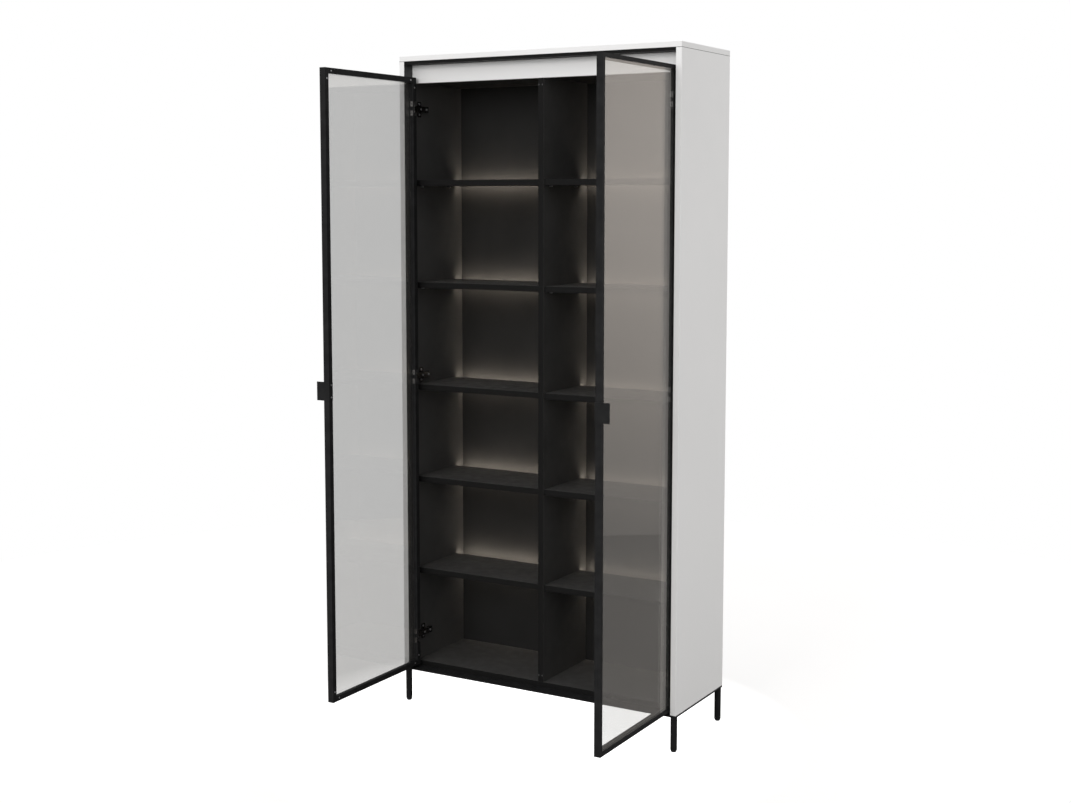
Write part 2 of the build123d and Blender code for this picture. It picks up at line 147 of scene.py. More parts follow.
class Finish:
    """A node material that is built up step by step round one Principled shader."""

    def __init__(self, name):
        self.material = bpy.data.materials.new(name)
        self.material.use_nodes = True
        self.tree = self.material.node_tree
        self.shader = self.tree.nodes["Principled BSDF"]
        self.place = self.tree.nodes.new("ShaderNodeTexCoord").outputs["Object"]

    def set(self, **values):
        """Sets sockets of the shader; underscores stand for spaces."""
        for key, value in values.items():
            socket = self.shader.inputs[key.replace("_", " ")]
            socket.default_value = (*value, 1.0) if isinstance(value, tuple) and len(value) == 3 else value

    def stretched(self, x, y, z):
        """Object coordinates scaled along each axis."""
        node = self.tree.nodes.new("ShaderNodeMapping")
        node.inputs["Scale"].default_value = (x, y, z)
        self.tree.links.new(self.place, node.inputs["Vector"])
        return node.outputs["Vector"]

    def noise(self, scale, detail=3.0, roughness=0.5, place=None):
        node = self.tree.nodes.new("ShaderNodeTexNoise")
        node.inputs["Scale"].default_value = scale
        node.inputs["Detail"].default_value = detail
        node.inputs["Roughness"].default_value = roughness
        self.tree.links.new(place or self.place, node.inputs["Vector"])
        return node.outputs["Fac"]

    def ranged(self, source, low, high, from_low=0.3, from_high=0.7):
        node = self.tree.nodes.new("ShaderNodeMapRange")
        node.inputs["From Min"].default_value = from_low
        node.inputs["From Max"].default_value = from_high
        node.inputs["To Min"].default_value = low
        node.inputs["To Max"].default_value = high
        self.tree.links.new(source, node.inputs["Value"])
        return node.outputs["Result"]

    def part(self, source, axis):
        """One coordinate of a vector."""
        node = self.tree.nodes.new("ShaderNodeSeparateXYZ")
        self.tree.links.new(source, node.inputs[0])
        return node.outputs[axis]

    def reckon(self, operation, *terms):
        """One step of arithmetic on sockets and numbers."""
        node = self.tree.nodes.new("ShaderNodeMath")
        node.operation = operation
        for place, term in enumerate(terms):
            if isinstance(term, float):
                node.inputs[place].default_value = term
            else:
                self.tree.links.new(term, node.inputs[place])
        return node.outputs[0]

    def facing(self):
        """The way the surface faces."""
        return self.tree.nodes.new("ShaderNodeTexCoord").outputs["Normal"]

    def overlay(self, mask, colour):
        """A second base colour where the mask is one."""
        base = self.shader.inputs["Base Color"]
        node = self.tree.nodes.new("ShaderNodeMix")
        node.data_type = "RGBA"
        self.tree.links.new(mask, node.inputs["Factor"])
        self.tree.links.new(base.links[0].from_socket, node.inputs["A"])
        node.inputs["B"].default_value = (*colour, 1.0)
        self.tree.links.new(node.outputs["Result"], base)

    def mottle(self, source, colour, darker, lighter):
        """Base colour that drifts between a darker and a lighter tone of one colour."""
        node = self.tree.nodes.new("ShaderNodeMix")
        node.data_type = "RGBA"
        node.inputs["A"].default_value = (*[min(1.0, c * darker) for c in colour], 1.0)
        node.inputs["B"].default_value = (*[min(1.0, c * lighter) for c in colour], 1.0)
        self.tree.links.new(self.ranged(source, 0.0, 1.0), node.inputs["Factor"])
        self.tree.links.new(node.outputs["Result"], self.shader.inputs["Base Color"])

    def gloss(self, source, low, high):
        """Roughness that varies between two values."""
        self.tree.links.new(self.ranged(source, low, high), self.shader.inputs["Roughness"])

    def relief(self, source, depth, strength=1.0):
        """Fine surface relief of a given depth in metres, stacked on what is there."""
        node = self.tree.nodes.new("ShaderNodeBump")
        node.inputs["Strength"].default_value = strength
        node.inputs["Distance"].default_value = depth
        self.tree.links.new(source, node.inputs["Height"])
        normal = self.shader.inputs["Normal"]
        if normal.links:
            self.tree.links.new(normal.links[0].from_socket, node.inputs["Normal"])
        self.tree.links.new(node.outputs["Normal"], normal)


INSIDE_BLACK = (0.012, 0.012, 0.012)
JOINT_SHADE_TONE = (0.16, 0.16, 0.16)
JOINT_SHADE_REACH = 0.7 * MM
FACE_REACH = 0.3 * MM
FOOT_REACH = 2.2 * MM


def white_lacquer(colour):
    """White outside; black inside the case and along the bottom edge, with a thin painted shade line in the
    top joint.
    """
    finish = Finish("white_lacquer")
    finish.mottle(finish.noise(1.7, 2.0), colour, 0.985, 1.012)
    low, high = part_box("left_side_panel")
    across = finish.reckon("ABSOLUTE", finish.part(finish.place, "X"))
    height = finish.part(finish.place, "Z")
    sideways = finish.reckon("ABSOLUTE", finish.part(finish.facing(), "X"))
    at_lining = finish.reckon("COMPARE", across, -high.x, FACE_REACH)
    inside = finish.reckon("MULTIPLY", at_lining, finish.reckon("GREATER_THAN", sideways, 0.5))
    # Painted shade: a thin grey line where the top panel meets the sides, which also greys the top panel's
    # underside.
    finish.overlay(finish.reckon("COMPARE", height, high.z, JOINT_SHADE_REACH), JOINT_SHADE_TONE)
    finish.overlay(inside, INSIDE_BLACK)
    finish.overlay(finish.reckon("LESS_THAN", height, low.z + FOOT_REACH), INSIDE_BLACK)
    finish.gloss(finish.noise(24.0, 4.0), 0.40, 0.50)
    finish.relief(finish.noise(260.0, 2.0), 0.03 * MM, 0.25)
    finish.relief(finish.noise(1500.0, 2.0), 0.02 * MM, 0.35)
    return finish.material


EDGE_BAND = 0.165
UNDERSIDE_SHADE = 0.42
BACK_SHADE = 0.36
EDGE_DEPTH = (0.10, 0.11)
SQUARE_ON = (-0.8, -0.6)


def black_foil(name, colour):
    """Foiled board with a darker edge band in front and painted shade on the faces that look down."""
    finish = Finish(name)
    finish.mottle(finish.noise(6.0, 4.0), colour, 0.88, 1.12)
    forward = finish.ranged(finish.part(finish.facing(), "Y"), 1.0, 0.0, *SQUARE_ON)
    outermost = finish.ranged(finish.part(finish.place, "Y"), 1.0, 0.0, *EDGE_DEPTH)
    finish.overlay(finish.reckon("MULTIPLY", forward, outermost), [c * EDGE_BAND for c in colour])
    # Painted shade: faces that look down get the foil colour times UNDERSIDE_SHADE.
    downward = finish.ranged(finish.part(finish.facing(), "Z"), 1.0, 0.0, *SQUARE_ON)
    finish.overlay(downward, [c * UNDERSIDE_SHADE for c in colour])
    finish.gloss(finish.noise(38.0, 5.0), 0.42, 0.56)
    finish.relief(finish.noise(900.0, 3.0, 0.6), 0.05 * MM, 0.4)
    finish.set(Specular_IOR_Level=0.05)
    return finish.material


def black_powder_coat(colour):
    """Matt powder coat of the door frames, pulls, legs and base."""
    finish = Finish("black_powder_coat")
    finish.mottle(finish.noise(40.0, 3.0), colour, 0.85, 1.2)
    finish.gloss(finish.noise(90.0, 4.0), 0.34, 0.46)
    finish.relief(finish.noise(2200.0, 2.0), 0.04 * MM, 0.5)
    finish.set(Specular_IOR_Level=0.025)
    return finish.material


MIRROR_LEAST = 0.110
MIRROR_GAIN = 0.90
MIRROR_STEEPNESS = 5.0
MIRROR_TONE = (1.0, 0.965, 0.925, 1.0)
HAZE_SHARE = (0.022, 0.030)
HAZE_TONE = (0.80, 0.78, 0.75, 1.0)


def tinted_glass(tint):
    """Grey glass with a trace of haze: each face mirrors more at a shallow angle."""
    finish = Finish("tinted_glass")
    tree = finish.tree
    tree.nodes.remove(finish.shader)
    clear = tree.nodes.new("ShaderNodeBsdfTransparent")
    clear.inputs["Color"].default_value = (*tint, 1.0)
    mirror = tree.nodes.new("ShaderNodeBsdfGlossy")
    mirror.inputs["Color"].default_value = MIRROR_TONE
    tree.links.new(finish.ranged(finish.noise(9.0, 5.0), 0.01, 0.035), mirror.inputs["Roughness"])
    slant = tree.nodes.new("ShaderNodeLayerWeight")
    slant.inputs["Blend"].default_value = 0.5
    steep = finish.reckon("POWER", slant.outputs["Facing"], MIRROR_STEEPNESS)
    share = finish.reckon("MULTIPLY_ADD", steep, MIRROR_GAIN, MIRROR_LEAST)
    mix = tree.nodes.new("ShaderNodeMixShader")
    tree.links.new(share, mix.inputs["Fac"])
    tree.links.new(clear.outputs[0], mix.inputs[1])
    tree.links.new(mirror.outputs[0], mix.inputs[2])
    haze = tree.nodes.new("ShaderNodeBsdfDiffuse")
    haze.inputs["Color"].default_value = HAZE_TONE
    hazed = tree.nodes.new("ShaderNodeMixShader")
    tree.links.new(finish.ranged(finish.noise(5.0, 4.0), *HAZE_SHARE), hazed.inputs["Fac"])
    tree.links.new(mix.outputs[0], hazed.inputs[1])
    tree.links.new(haze.outputs[0], hazed.inputs[2])
    tree.links.new(hazed.outputs[0], tree.nodes["Material Output"].inputs["Surface"])
    return finish.material


def soft_rubber():
    """Matt rubber of the bumpers and glass gaskets."""
    finish = Finish("soft_rubber")
    finish.mottle(finish.noise(30.0, 3.0), (0.060, 0.060, 0.060), 0.8, 1.2)
    finish.gloss(finish.noise(120.0, 3.0), 0.62, 0.8)
    finish.relief(finish.noise(800.0, 3.0), 0.05 * MM, 0.4)
    return finish.material


def nickel_plate():
    """Satin nickel of the hinges, with a fine level grain."""
    finish = Finish("nickel_plate")
    finish.mottle(finish.noise(60.0, 3.0), (0.15, 0.145, 0.14), 0.8, 1.15)
    finish.gloss(finish.noise(300.0, 4.0, place=finish.stretched(1.0, 1.0, 12.0)), 0.18, 0.30)
    finish.relief(finish.noise(900.0, 3.0, place=finish.stretched(1.0, 1.0, 9.0)), 0.02 * MM, 0.3)
    finish.set(Metallic=1.0)
    return finish.material


def zinc_plate():
    """Bright zinc of the screws and shelf pins."""
    finish = Finish("zinc_plate")
    finish.mottle(finish.noise(220.0, 4.0), (0.42, 0.42, 0.43), 0.82, 1.1)
    finish.gloss(finish.noise(400.0, 4.0), 0.3, 0.48)
    finish.relief(finish.noise(1600.0, 2.0), 0.02 * MM, 0.3)
    finish.set(Metallic=1.0)
    return finish.material


def cast_aluminium():
    """Grainy cast metal of the corner keys."""
    finish = Finish("cast_aluminium")
    finish.mottle(finish.noise(160.0, 4.0), (0.55, 0.55, 0.56), 0.85, 1.08)
    finish.gloss(finish.noise(260.0, 4.0), 0.4, 0.6)
    finish.relief(finish.noise(1200.0, 3.0), 0.05 * MM, 0.5)
    finish.set(Metallic=1.0)
    return finish.material


def moulded_plastic():
    """Fine-grained black plastic of the glides, ducts and light driver."""
    finish = Finish("moulded_plastic")
    finish.mottle(finish.noise(50.0, 3.0), (0.02, 0.02, 0.021), 0.85, 1.2)
    finish.gloss(finish.noise(150.0, 3.0), 0.42, 0.55)
    finish.relief(finish.noise(1800.0, 2.0), 0.03 * MM, 0.4)
    return finish.material


def beech():
    """Beech dowels with their grain along the dowel."""
    finish = Finish("beech")
    grain = finish.noise(40.0, 5.0, place=finish.stretched(0.1, 1.0, 1.0))
    finish.mottle(grain, (0.62, 0.45, 0.28), 0.8, 1.15)
    finish.gloss(grain, 0.5, 0.65)
    finish.relief(grain, 0.1 * MM, 0.3)
    return finish.material


def lit_diffuser(colour, power):
    """Opal cover of a shelf light, glowing in the light's own colour."""
    finish = Finish("lit_diffuser")
    finish.mottle(finish.noise(80.0, 2.0), (0.9, 0.88, 0.84), 0.96, 1.02)
    finish.gloss(finish.noise(200.0, 3.0), 0.5, 0.62)
    finish.set(Emission_Color=colour, Emission_Strength=power)
    return finish.material


FLOOR_GLOW = 0.71
UNDER_GLOW = 0.95
UNDER_REACH = (0.42, 0.85)


def pale_floor():
    """A pale floor that glows for camera rays only, so it fades into the backdrop; near the cabinet the glow
    is stronger, painted light that cancels the cabinet's shadow.
    """
    finish = Finish("pale_floor")
    finish.mottle(finish.noise(0.6, 3.0), (0.29, 0.28, 0.27), 0.995, 1.003)
    finish.gloss(finish.noise(3.0, 3.0), 0.6, 0.72)
    finish.set(Specular_IOR_Level=0.1, Emission_Color=(1.0, 1.0, 1.0))
    path = finish.tree.nodes.new("ShaderNodeLightPath")
    reach = finish.tree.nodes.new("ShaderNodeVectorMath")
    reach.operation = "LENGTH"
    finish.tree.links.new(finish.place, reach.inputs[0])
    # Painted light: the glow rises by UNDER_GLOW near the middle, cancelling the cabinet's shadow on the
    # floor.
    under = finish.ranged(reach.outputs["Value"], FLOOR_GLOW + UNDER_GLOW, FLOOR_GLOW, *UNDER_REACH)
    glow = finish.reckon("MULTIPLY", path.outputs["Is Camera Ray"], under)
    finish.tree.links.new(glow, finish.shader.inputs["Emission Strength"])
    return finish.material


def all_finishes(settings):
    """One material for each of the record's slots."""
    return {
        "white_board": white_lacquer(settings.shell_colour),
        "black_board": black_foil("black_foil", settings.carcass_colour),
        "black_metal": black_powder_coat(settings.metal_colour),
        "door_glass": tinted_glass(settings.glass_tint),
        "black_rubber": soft_rubber(),
        "hinge_steel": nickel_plate(),
        "zinc_steel": zinc_plate(),
        "cast_aluminium": cast_aluminium(),
        "light_diffuser": lit_diffuser(tuple(settings.light_colour), settings.light_power),
        "black_plastic": moulded_plastic(),
        "beech_dowel": beech(),
    }


SLOT_FINISHES = {
    "white_board": "white_lacquer", "black_board": "black_foil", "black_metal": "black_powder_coat",
    "door_glass": "tinted_glass", "black_rubber": "soft_rubber", "hinge_steel": "nickel_plate",
    "zinc_steel": "zinc_plate", "cast_aluminium": "cast_aluminium", "light_diffuser": "lit_diffuser",
    "black_plastic": "moulded_plastic", "beech_dowel": "beech",
}

# ------------------------------------------------------------------ shaping

PLANES = {0: (1, 2), 1: (0, 2), 2: (0, 1)}


def placed(axis, u, v, along):
    """A point from its two coordinates across an axis and its place along the axis."""
    point = Vector((0.0, 0.0, 0.0))
    point[PLANES[axis][0]] = u
    point[PLANES[axis][1]] = v
    point[axis] = along
    return point


def loop_edges(mesh, verts):
    """The edges of a closed loop of corners."""
    pairs = zip(verts, verts[1:] + verts[:1])
    return [mesh.edges.get(pair) or mesh.edges.new(pair) for pair in pairs]


def walls(mesh, lower, upper):
    """Faces between two loops with the same number of corners."""
    for i in range(len(lower)):
        j = (i + 1) % len(lower)
        mesh.faces.new((lower[i], lower[j], upper[j], upper[i]))


def plate(mesh, axis, low, high, outline, holes=()):
    """An outline with holes, thickened between two places along an axis."""
    ends = []
    for along in (low, high):
        loops = [[mesh.verts.new(placed(axis, u, v, along)) for u, v in line] for line in (outline, *holes)]
        edges = [edge for loop in loops for edge in loop_edges(mesh, loop)]
        bmesh.ops.triangle_fill(mesh, edges=edges, use_beauty=True)
        ends.append(loops)
    for lower, upper in zip(*ends):
        walls(mesh, lower, upper)


def turned(mesh, centre, axis, profile, sides=24, capped=True):
    """A profile of (radius, distance) pairs turned about an axis through a point."""
    rings = []
    for radius, along in profile:
        angles = [2 * math.pi * i / sides for i in range(sides)]
        rings.append([mesh.verts.new(centre + placed(axis, radius * math.cos(a), radius * math.sin(a), along))
                      for a in angles])
    for lower, upper in zip(rings, rings[1:]):
        walls(mesh, lower, upper)
    mesh.faces.new(rings[0])
    if capped:
        mesh.faces.new(rings[-1])
    return rings


def circle(u, v, radius, sides=20):
    """A round outline."""
    angles = [2 * math.pi * i / sides for i in range(sides)]
    return [(u + radius * math.cos(a), v + radius * math.sin(a)) for a in angles]


def oblong(u, v, half_u, half_v, corner, steps=4):
    """A rectangle with rounded corners."""
    points = []
    for quarter, (su, sv) in enumerate(((1, 1), (-1, 1), (-1, -1), (1, -1))):
        for step in range(steps + 1):
            angle = (quarter + step / steps) * math.pi / 2
            points.append((u + su * (half_u - corner) + corner * math.cos(angle),
                           v + sv * (half_v - corner) + corner * math.sin(angle)))
    return points


# Shares of the head's radius and height: the turned outline of the head, the reach and half width of
# the cross, and how far the cross narrows and goes down.
HEAD_OUTLINE = ((1.0, 0.0), (1.0, 0.35), (0.94, 0.68), (0.8, 0.9), (0.62, 1.0))
SHANK_SHARE = 0.5
CROSS_REACH = 0.5
CROSS_HALF = 0.12
CROSS_NARROWING = 0.8
CROSS_FLOOR = 0.3


def cross_outline():
    """The twelve corners of a cross, as shares of the head's radius."""
    arm = ((CROSS_REACH, CROSS_HALF), (CROSS_HALF, CROSS_HALF), (CROSS_HALF, CROSS_REACH))
    corners = []
    for u_sign, v_sign, order in ((1, 1, 1), (-1, 1, -1), (-1, -1, 1), (1, -1, -1)):
        corners += [(u_sign * u, v_sign * v) for u, v in arm[::order]]
    return corners


def cross_screw(mesh, seat, axis, out, radius, height, shank):
    """A pan-head screw with a cross recess; `out` is the way its head points along the axis."""
    head = [(radius * r, out * h * height) for r, h in HEAD_OUTLINE]
    neck = [(radius * SHANK_SHARE, -out * shank), (radius * SHANK_SHARE, 0.0)]
    rings = turned(mesh, seat, axis, neck + head, capped=False)

    def cross(share, level):
        return [mesh.verts.new(seat + placed(axis, u * radius * share, v * radius * share, out * level))
                for u, v in cross_outline()]

    rim = cross(1.0, height)
    floor = cross(CROSS_NARROWING, height * CROSS_FLOOR)
    bmesh.ops.triangle_fill(mesh, edges=loop_edges(mesh, rings[-1]) + loop_edges(mesh, rim), use_beauty=True)
    walls(mesh, rim, floor)
    mesh.faces.new(floor)


SHARP_FROM = math.radians(35)
ROUNDED_FROM = math.radians(50)
ROUNDING_STEPS = 2


def add_piece(name, mesh, body, slot, replaced):
    """Turns a bmesh into a piece that rides on a body, has a slot's finish and replaces a CAD node."""
    data = bpy.data.meshes.new(name)
    bmesh.ops.recalc_face_normals(mesh, faces=mesh.faces)
    mesh.to_mesh(data)
    mesh.free()
    data.materials.append(bpy.data.materials[SLOT_FINISHES[slot]])
    piece = bpy.data.objects.new(name, data)
    bpy.context.scene.collection.objects.link(piece)
    data.shade_smooth()
    data.set_sharp_from_angle(angle=SHARP_FROM)
    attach(piece, body)
    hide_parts(replaced)


def soften(node, edge):
    """Rounds a CAD node's sharp edges."""
    rounding = node.modifiers.new("edge_rounding", "BEVEL")
    rounding.width = edge
    rounding.segments = ROUNDING_STEPS
    rounding.limit_method = "ANGLE"
    rounding.angle_limit = ROUNDED_FROM


# ------------------------------------------------------------------ small fittings

# Hinge sizes in millimetres. Pairs are (inset from the cabinet's outer face, depth behind its front)
# for the arm, and (distance from the door's hinge end, depth behind its face) for the seat.
ARM_HALF_HEIGHT = 9.0
ARM_SHEET = 1.1
ARM_WEB_MARGIN = 0.4
ARM_CHEEK = ((21.4, 35.1), (29.5, 35.1), (32.1, 38.0), (32.1, 50.0), (34.9, 58.0), (34.9, 106.0),
             (31.0, 111.9), (24.1, 111.9), (24.1, 62.0), (21.4, 56.0))
ARM_WEB = ((30.6, 38.6), (32.1, 38.6), (32.1, 50.0), (34.9, 58.0), (34.9, 106.0), (31.0, 111.9),
           (29.8, 111.2), (33.5, 105.4), (33.5, 58.4), (30.8, 50.5))
ARM_OUTER = 34.9
ARM_RIVET = (26.2, 41.0)
ARM_RIVET_HOLE = 1.6
ARM_RIVET_RADIUS = 1.5
ARM_RIVET_MARGIN = 0.2
ARM_BOSS_DEPTH = 82.0
ARM_BOSS = ((4.4, 1.0), (4.4, -0.5), (3.6, -0.9))
ARM_SCREWS = ((98.0, 4.0, 1.2), (66.5, 3.4, 1.0))
ARM_SCREW_SHANK = 6.0
RIDGE_HEIGHT = 4.4
RIDGE_REACH = (62.6, 107.9)
RIDGE_HALF = 7.4
RIDGE_CORNER = 2.0
WING_DEPTH = 76.0
WING_LEVELS = (0.9, 2.5)
WING_HALVES = (9.9, 23.9)
WING_CORNER = 5.0
WING_RIM_HEIGHT = 1.0
WING_RIM_HALVES = (9.0, 23.0)
WING_RIM_CORNER = 4.4
WING_SLOT_HEIGHTS = (-16.0, 16.0)
WING_SLOT_HALVES = (2.3, 4.0)
WING_SLOT_CORNER = 2.2
WOOD_SCREW = (3.75, 1.35, 2.4)
SEAT_LEVELS = (10.35, 11.2)
SEAT_REACH = (1.9, 12.0)
SEAT_HALF = 21.2
SEAT_CORNER = 1.5
SEAT_LUG = ((1.0, 11.0), (11.6, 11.0), (11.6, 15.0), (9.0, 18.4), (4.2, 18.4), (1.0, 15.4))
SEAT_LUG_HEIGHTS = (-12.6, 10.6)
SEAT_LUG_SHEET = 2.0
SEAT_PIVOT = (6.2, 14.6)
SEAT_PIVOT_HOLE = 1.3
SEAT_PIVOT_RADIUS = 1.25
SEAT_PIVOT_ENDS = ((-13.4, -10.0), (10.0, 13.4))
SEAT_SCREW_REACH = 6.8
SEAT_SCREW_HEIGHTS = (-17.4, 17.4)
SEAT_SCREW = (2.7, 1.1, 1.0)
EAR_HEIGHTS = (-14.0, 14.0)
EAR_DEPTH = 13.75
EAR_HALVES = (4.7, 7.9)
EAR_CORNER = 1.6
EAR_SHEET = (17.15, 16.0)
EAR_HOLE = 1.3
PIN_SIDES = 16


def hinge_arm(mesh, side, height, faces):
    """The arm that hooks over the mounting plate: two cheeks, a bent web, a rivet and a raised boss."""
    def across(inset):
        return side * (faces["half_width"] - inset * MM)

    def back(depth):
        return faces["front"] + depth * MM

    low, high = (height + sign * ARM_HALF_HEIGHT * MM for sign in (-1, 1))
    sheet = ARM_SHEET * MM
    margin = ARM_WEB_MARGIN * MM
    inset, depth = ARM_RIVET
    rivet = circle(across(inset), back(depth), ARM_RIVET_HOLE * MM)
    for near, far in ((low, low + sheet), (high - sheet, high)):
        plate(mesh, 2, near, far, [(across(i), back(d)) for i, d in ARM_CHEEK], [rivet])
    plate(mesh, 2, low + margin, high - margin, [(across(i), back(d)) for i, d in ARM_WEB])
    ends = (ARM_RIVET_MARGIN, 2 * ARM_HALF_HEIGHT - ARM_RIVET_MARGIN)
    turned(mesh, Vector((across(inset), back(depth), low)), 2,
           [(ARM_RIVET_RADIUS * MM, end * MM) for end in ends], sides=PIN_SIDES)
    turned(mesh, Vector((across(ARM_OUTER), back(ARM_BOSS_DEPTH), height)), 0,
           [(radius * MM, side * rise * MM) for radius, rise in ARM_BOSS])


def hinge_plate(mesh, side, height, faces):
    """The mounting plate: a ridge under the arm and two wings with slots for the wood screws."""
    wall = faces["wall"] * side
    front = faces["front"]
    middle = front + WING_DEPTH * MM

    def out(distance):
        return wall - side * distance * MM

    def outline(centre, halves, corner, rise=0.0):
        half_depth, half_height = halves
        return oblong(centre, height + rise * MM, half_depth * MM, half_height * MM, corner * MM)

    near, far = RIDGE_REACH
    ridge = outline(front + (near + far) / 2 * MM, ((far - near) / 2, RIDGE_HALF), RIDGE_CORNER)
    slots = [outline(middle, WING_SLOT_HALVES, WING_SLOT_CORNER, rise) for rise in WING_SLOT_HEIGHTS]
    plate(mesh, 0, *sorted((wall, out(RIDGE_HEIGHT))), ridge)
    wings = outline(middle, WING_HALVES, WING_CORNER)
    plate(mesh, 0, *sorted(out(level) for level in WING_LEVELS), wings, slots)
    rim = outline(middle, WING_RIM_HALVES, WING_RIM_CORNER)
    plate(mesh, 0, *sorted((wall, out(WING_RIM_HEIGHT))), rim, slots)


def hinge_screws(mesh, side, height, faces):
    """The two wood screws of a mounting plate and the two adjusting screws of its arm."""
    wing = (faces["wall"] - WING_LEVELS[1] * MM) * side
    web = (faces["half_width"] - ARM_OUTER * MM) * side
    for rise in WING_SLOT_HEIGHTS:
        seat = Vector((wing, faces["front"] + WING_DEPTH * MM, height + rise * MM))
        cross_screw(mesh, seat, 0, -side, *[size * MM for size in WOOD_SCREW])
    for depth, radius, rise in ARM_SCREWS:
        seat = Vector((web, faces["front"] + depth * MM, height))
        cross_screw(mesh, seat, 0, -side, radius * MM, rise * MM, ARM_SCREW_SHANK * MM)


def hinge_seat(mesh, side, height, faces):
    """The part of a hinge that is let into the door's hinge stile."""
    face = faces["door_face"] * side
    end = faces["door_end"]

    def behind(depth):
        return face - side * depth * MM

    def along(reach):
        return end - reach * MM

    near, far = SEAT_REACH
    floor = oblong(along((near + far) / 2), height, (far - near) / 2 * MM, SEAT_HALF * MM, SEAT_CORNER * MM)
    plate(mesh, 0, *sorted(behind(level) for level in SEAT_LEVELS), floor)
    reach, depth = SEAT_PIVOT
    pivot = circle(behind(depth), along(reach), SEAT_PIVOT_HOLE * MM, PIN_SIDES)
    for rise in SEAT_LUG_HEIGHTS:
        plate(mesh, 2, height + rise * MM, height + (rise + SEAT_LUG_SHEET) * MM,
              [(behind(d), along(r)) for r, d in SEAT_LUG], [pivot])
    for ends in SEAT_PIVOT_ENDS:
        turned(mesh, Vector((behind(depth), along(reach), height)), 2,
               [(SEAT_PIVOT_RADIUS * MM, rise * MM) for rise in ends], sides=PIN_SIDES)
    for rise in SEAT_SCREW_HEIGHTS:
        seat = Vector((behind(SEAT_LEVELS[1]), along(SEAT_SCREW_REACH), height + rise * MM))
        cross_screw(mesh, seat, 0, -side, *[size * MM for size in SEAT_SCREW])
    half_depth, half_height = EAR_HALVES
    for rise in EAR_HEIGHTS:
        ear = oblong(behind(EAR_DEPTH), height + rise * MM, half_depth * MM, half_height * MM, EAR_CORNER * MM)
        hole = circle(behind(EAR_DEPTH), height + rise * MM, EAR_HOLE * MM, PIN_SIDES)
        plate(mesh, 1, *[along(reach) for reach in EAR_SHEET], ear, [hole])


# Turned outlines of the small fittings: shares of the radius, and of the depth or height.
PIN_END = 0.7
PIN_CHAMFER = 0.8 * MM
BUMPER_DOME = ((1.0, 0.0), (1.0, -0.35), (0.9, -0.72), (0.6, -0.94), (0.2, -1.0))
GLIDE_OUTLINE = ((0.72, 0.0), (0.9, 0.12), (0.97, 0.35), (0.97, 0.7), (1.0, 0.76), (1.0, 1.0))


def shelf_pin(mesh, low, high):
    """A steel pin with chamfered ends, which lies between two corners of its box."""
    centre = (low + high) / 2
    radius = (high.z - low.z) / 2
    half = (high.x - low.x) / 2
    shoulder = half - PIN_CHAMFER
    turned(mesh, centre, 0, [(radius * PIN_END, -half), (radius, -shoulder), (radius, shoulder),
                             (radius * PIN_END, half)], sides=20)


def bumper(mesh, low, high):
    """A small domed rubber stop on a front edge."""
    radius = (high.x - low.x) / 2
    depth = high.y - low.y
    seat = Vector(((low.x + high.x) / 2, high.y, (low.z + high.z) / 2))
    turned(mesh, seat, 1, [(radius * r, depth * y) for r, y in BUMPER_DOME])


def leg_glide(mesh, low, high):
    """A plastic foot that is pressed into a leg."""
    radius = (high.x - low.x) / 2
    height = high.z - low.z
    seat = Vector(((low.x + high.x) / 2, (low.y + high.y) / 2, low.z))
    turned(mesh, seat, 2, [(radius * r, height * z) for r, z in GLIDE_OUTLINE], sides=32)


# ------------------------------------------------------------------ operators

class CABINET_OT_finishes(bpy.types.Operator):
    """Give every board, profile and fitting of the cabinet its finish"""

    bl_idname = "cabinet.finishes"
    bl_label = "Cabinet finishes"

    def execute(self, context):
        settings = context.scene.cabinet_finish
        finishes = all_finishes(settings)
        slots = {row["node"]: row["material_slot"] for row in frame["record"]["subparts"]}
        # Painted shade: the back panel gets the carcass foil darkened by BACK_SHADE, standing in for the shade
        # deep in the case.
        painted_shade_back_foil = black_foil("painted_shade_back_foil", [c * BACK_SHADE for c in settings.carcass_colour])
        rounded = {"white_board": settings.lacquer_round, "black_board": settings.edge_round,
                   "black_metal": settings.edge_round}
        for name, node in frame["nodes"].items():
            slot = slots[name]
            if slot not in finishes:
                raise RuntimeError(f"{name} has no finish")
            node.data.materials.clear()
            node.data.materials.append(painted_shade_back_foil if name == "back_panel" else finishes[slot])
            if slot in rounded:
                soften(node, rounded[slot])
        return {"FINISHED"}


class CABINET_OT_hinges(bpy.types.Operator):
    """Build the six hinges: arms, mounting plates and the seats in the door stiles"""

    bl_idname = "cabinet.hinges"
    bl_label = "Hinges"

    def execute(self, context):
        faces = hinge_faces()
        heights = sorted({round((low.z + high.z) / 2, 5) for low, high in islands("hinge_arms")})
        if len(heights) != HINGES_PER_DOOR:
            raise RuntimeError("each door needs its full set of hinges")
        fittings = (("hinge_arms", hinge_arm, "hinge_steel"), ("hinge_plates", hinge_plate, "hinge_steel"),
                    ("hinge_screws", hinge_screws, "zinc_steel"))
        for node, build, slot in fittings:
            mesh = bmesh.new()
            for side in SIDES.values():
                for height in heights:
                    build(mesh, side, height, faces)
            add_piece(f"fitted_{node}", mesh, "cabinet", slot, node)
        for name, side in SIDES.items():
            mesh = bmesh.new()
            for height in heights:
                hinge_seat(mesh, side, height, faces)
            add_piece(f"{name}_hinge_seats", mesh, f"{name}_door", "hinge_steel", f"{name}_door_hinge_cups")
        return {"FINISHED"}


